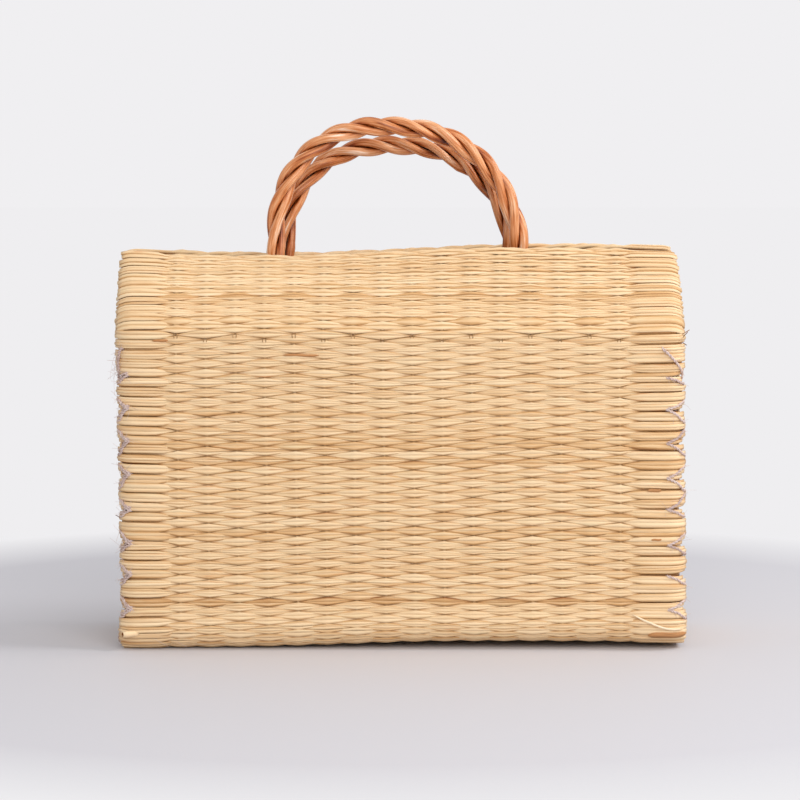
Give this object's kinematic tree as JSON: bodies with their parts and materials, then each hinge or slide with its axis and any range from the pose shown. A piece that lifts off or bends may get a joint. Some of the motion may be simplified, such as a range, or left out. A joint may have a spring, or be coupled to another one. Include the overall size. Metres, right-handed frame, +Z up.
{
  "type": "reed basket box bag",
  "caption": "Box bag of woven reed mat with laced gabled ends, fold-in lid flaps hinged at the top of the walls and arched handles twisted from willow rods.",
  "frame": {"origin": "under the middle of the bag, on the surface it stands on", "axes": "+X along the width to the right as seen from the front, +Y towards the back wall, +Z up"},
  "size_m": [0.3228, 0.1068, 0.3024],
  "materials": {
    "reed": "dry woven reed, satin",
    "willow": "peeled and steamed willow, satin",
    "twine": "twisted plant fibre twine, matt"
  },
  "bodies": {
    "basket": {"body_mat": "reed", "left_end_panel": "reed", "right_end_panel": "reed", "front_fold_reeds": "reed", "back_fold_reeds": "reed", "front_left_lacing": "twine", "front_right_lacing": "twine", "back_left_lacing": "twine", "back_right_lacing": "twine", "bottom_left_lacing": "twine", "bottom_right_lacing": "twine"},
    "front_lid": {"front_flap": "reed", "front_handle_rod_1": "willow", "front_handle_rod_2": "willow", "front_handle_rod_3": "willow", "front_left_lashing": "twine", "front_right_lashing": "twine"},
    "back_lid": {"back_flap": "reed", "back_handle_rod_1": "willow", "back_handle_rod_2": "willow", "back_handle_rod_3": "willow", "back_left_lashing": "twine", "back_right_lashing": "twine"}
  },
  "joints": [
    {"name": "front_flap_fold", "type": "hinge", "parent": "basket", "child": "front_lid", "pos_m": [0, -0.0495, 0.18], "axis": [1, 0, 0], "range_deg": [0, 110]},
    {"name": "back_flap_fold", "type": "hinge", "parent": "basket", "child": "back_lid", "pos_m": [0, 0.0495, 0.18], "axis": [-1, 0, 0], "range_deg": [0, 110]}
  ]
}
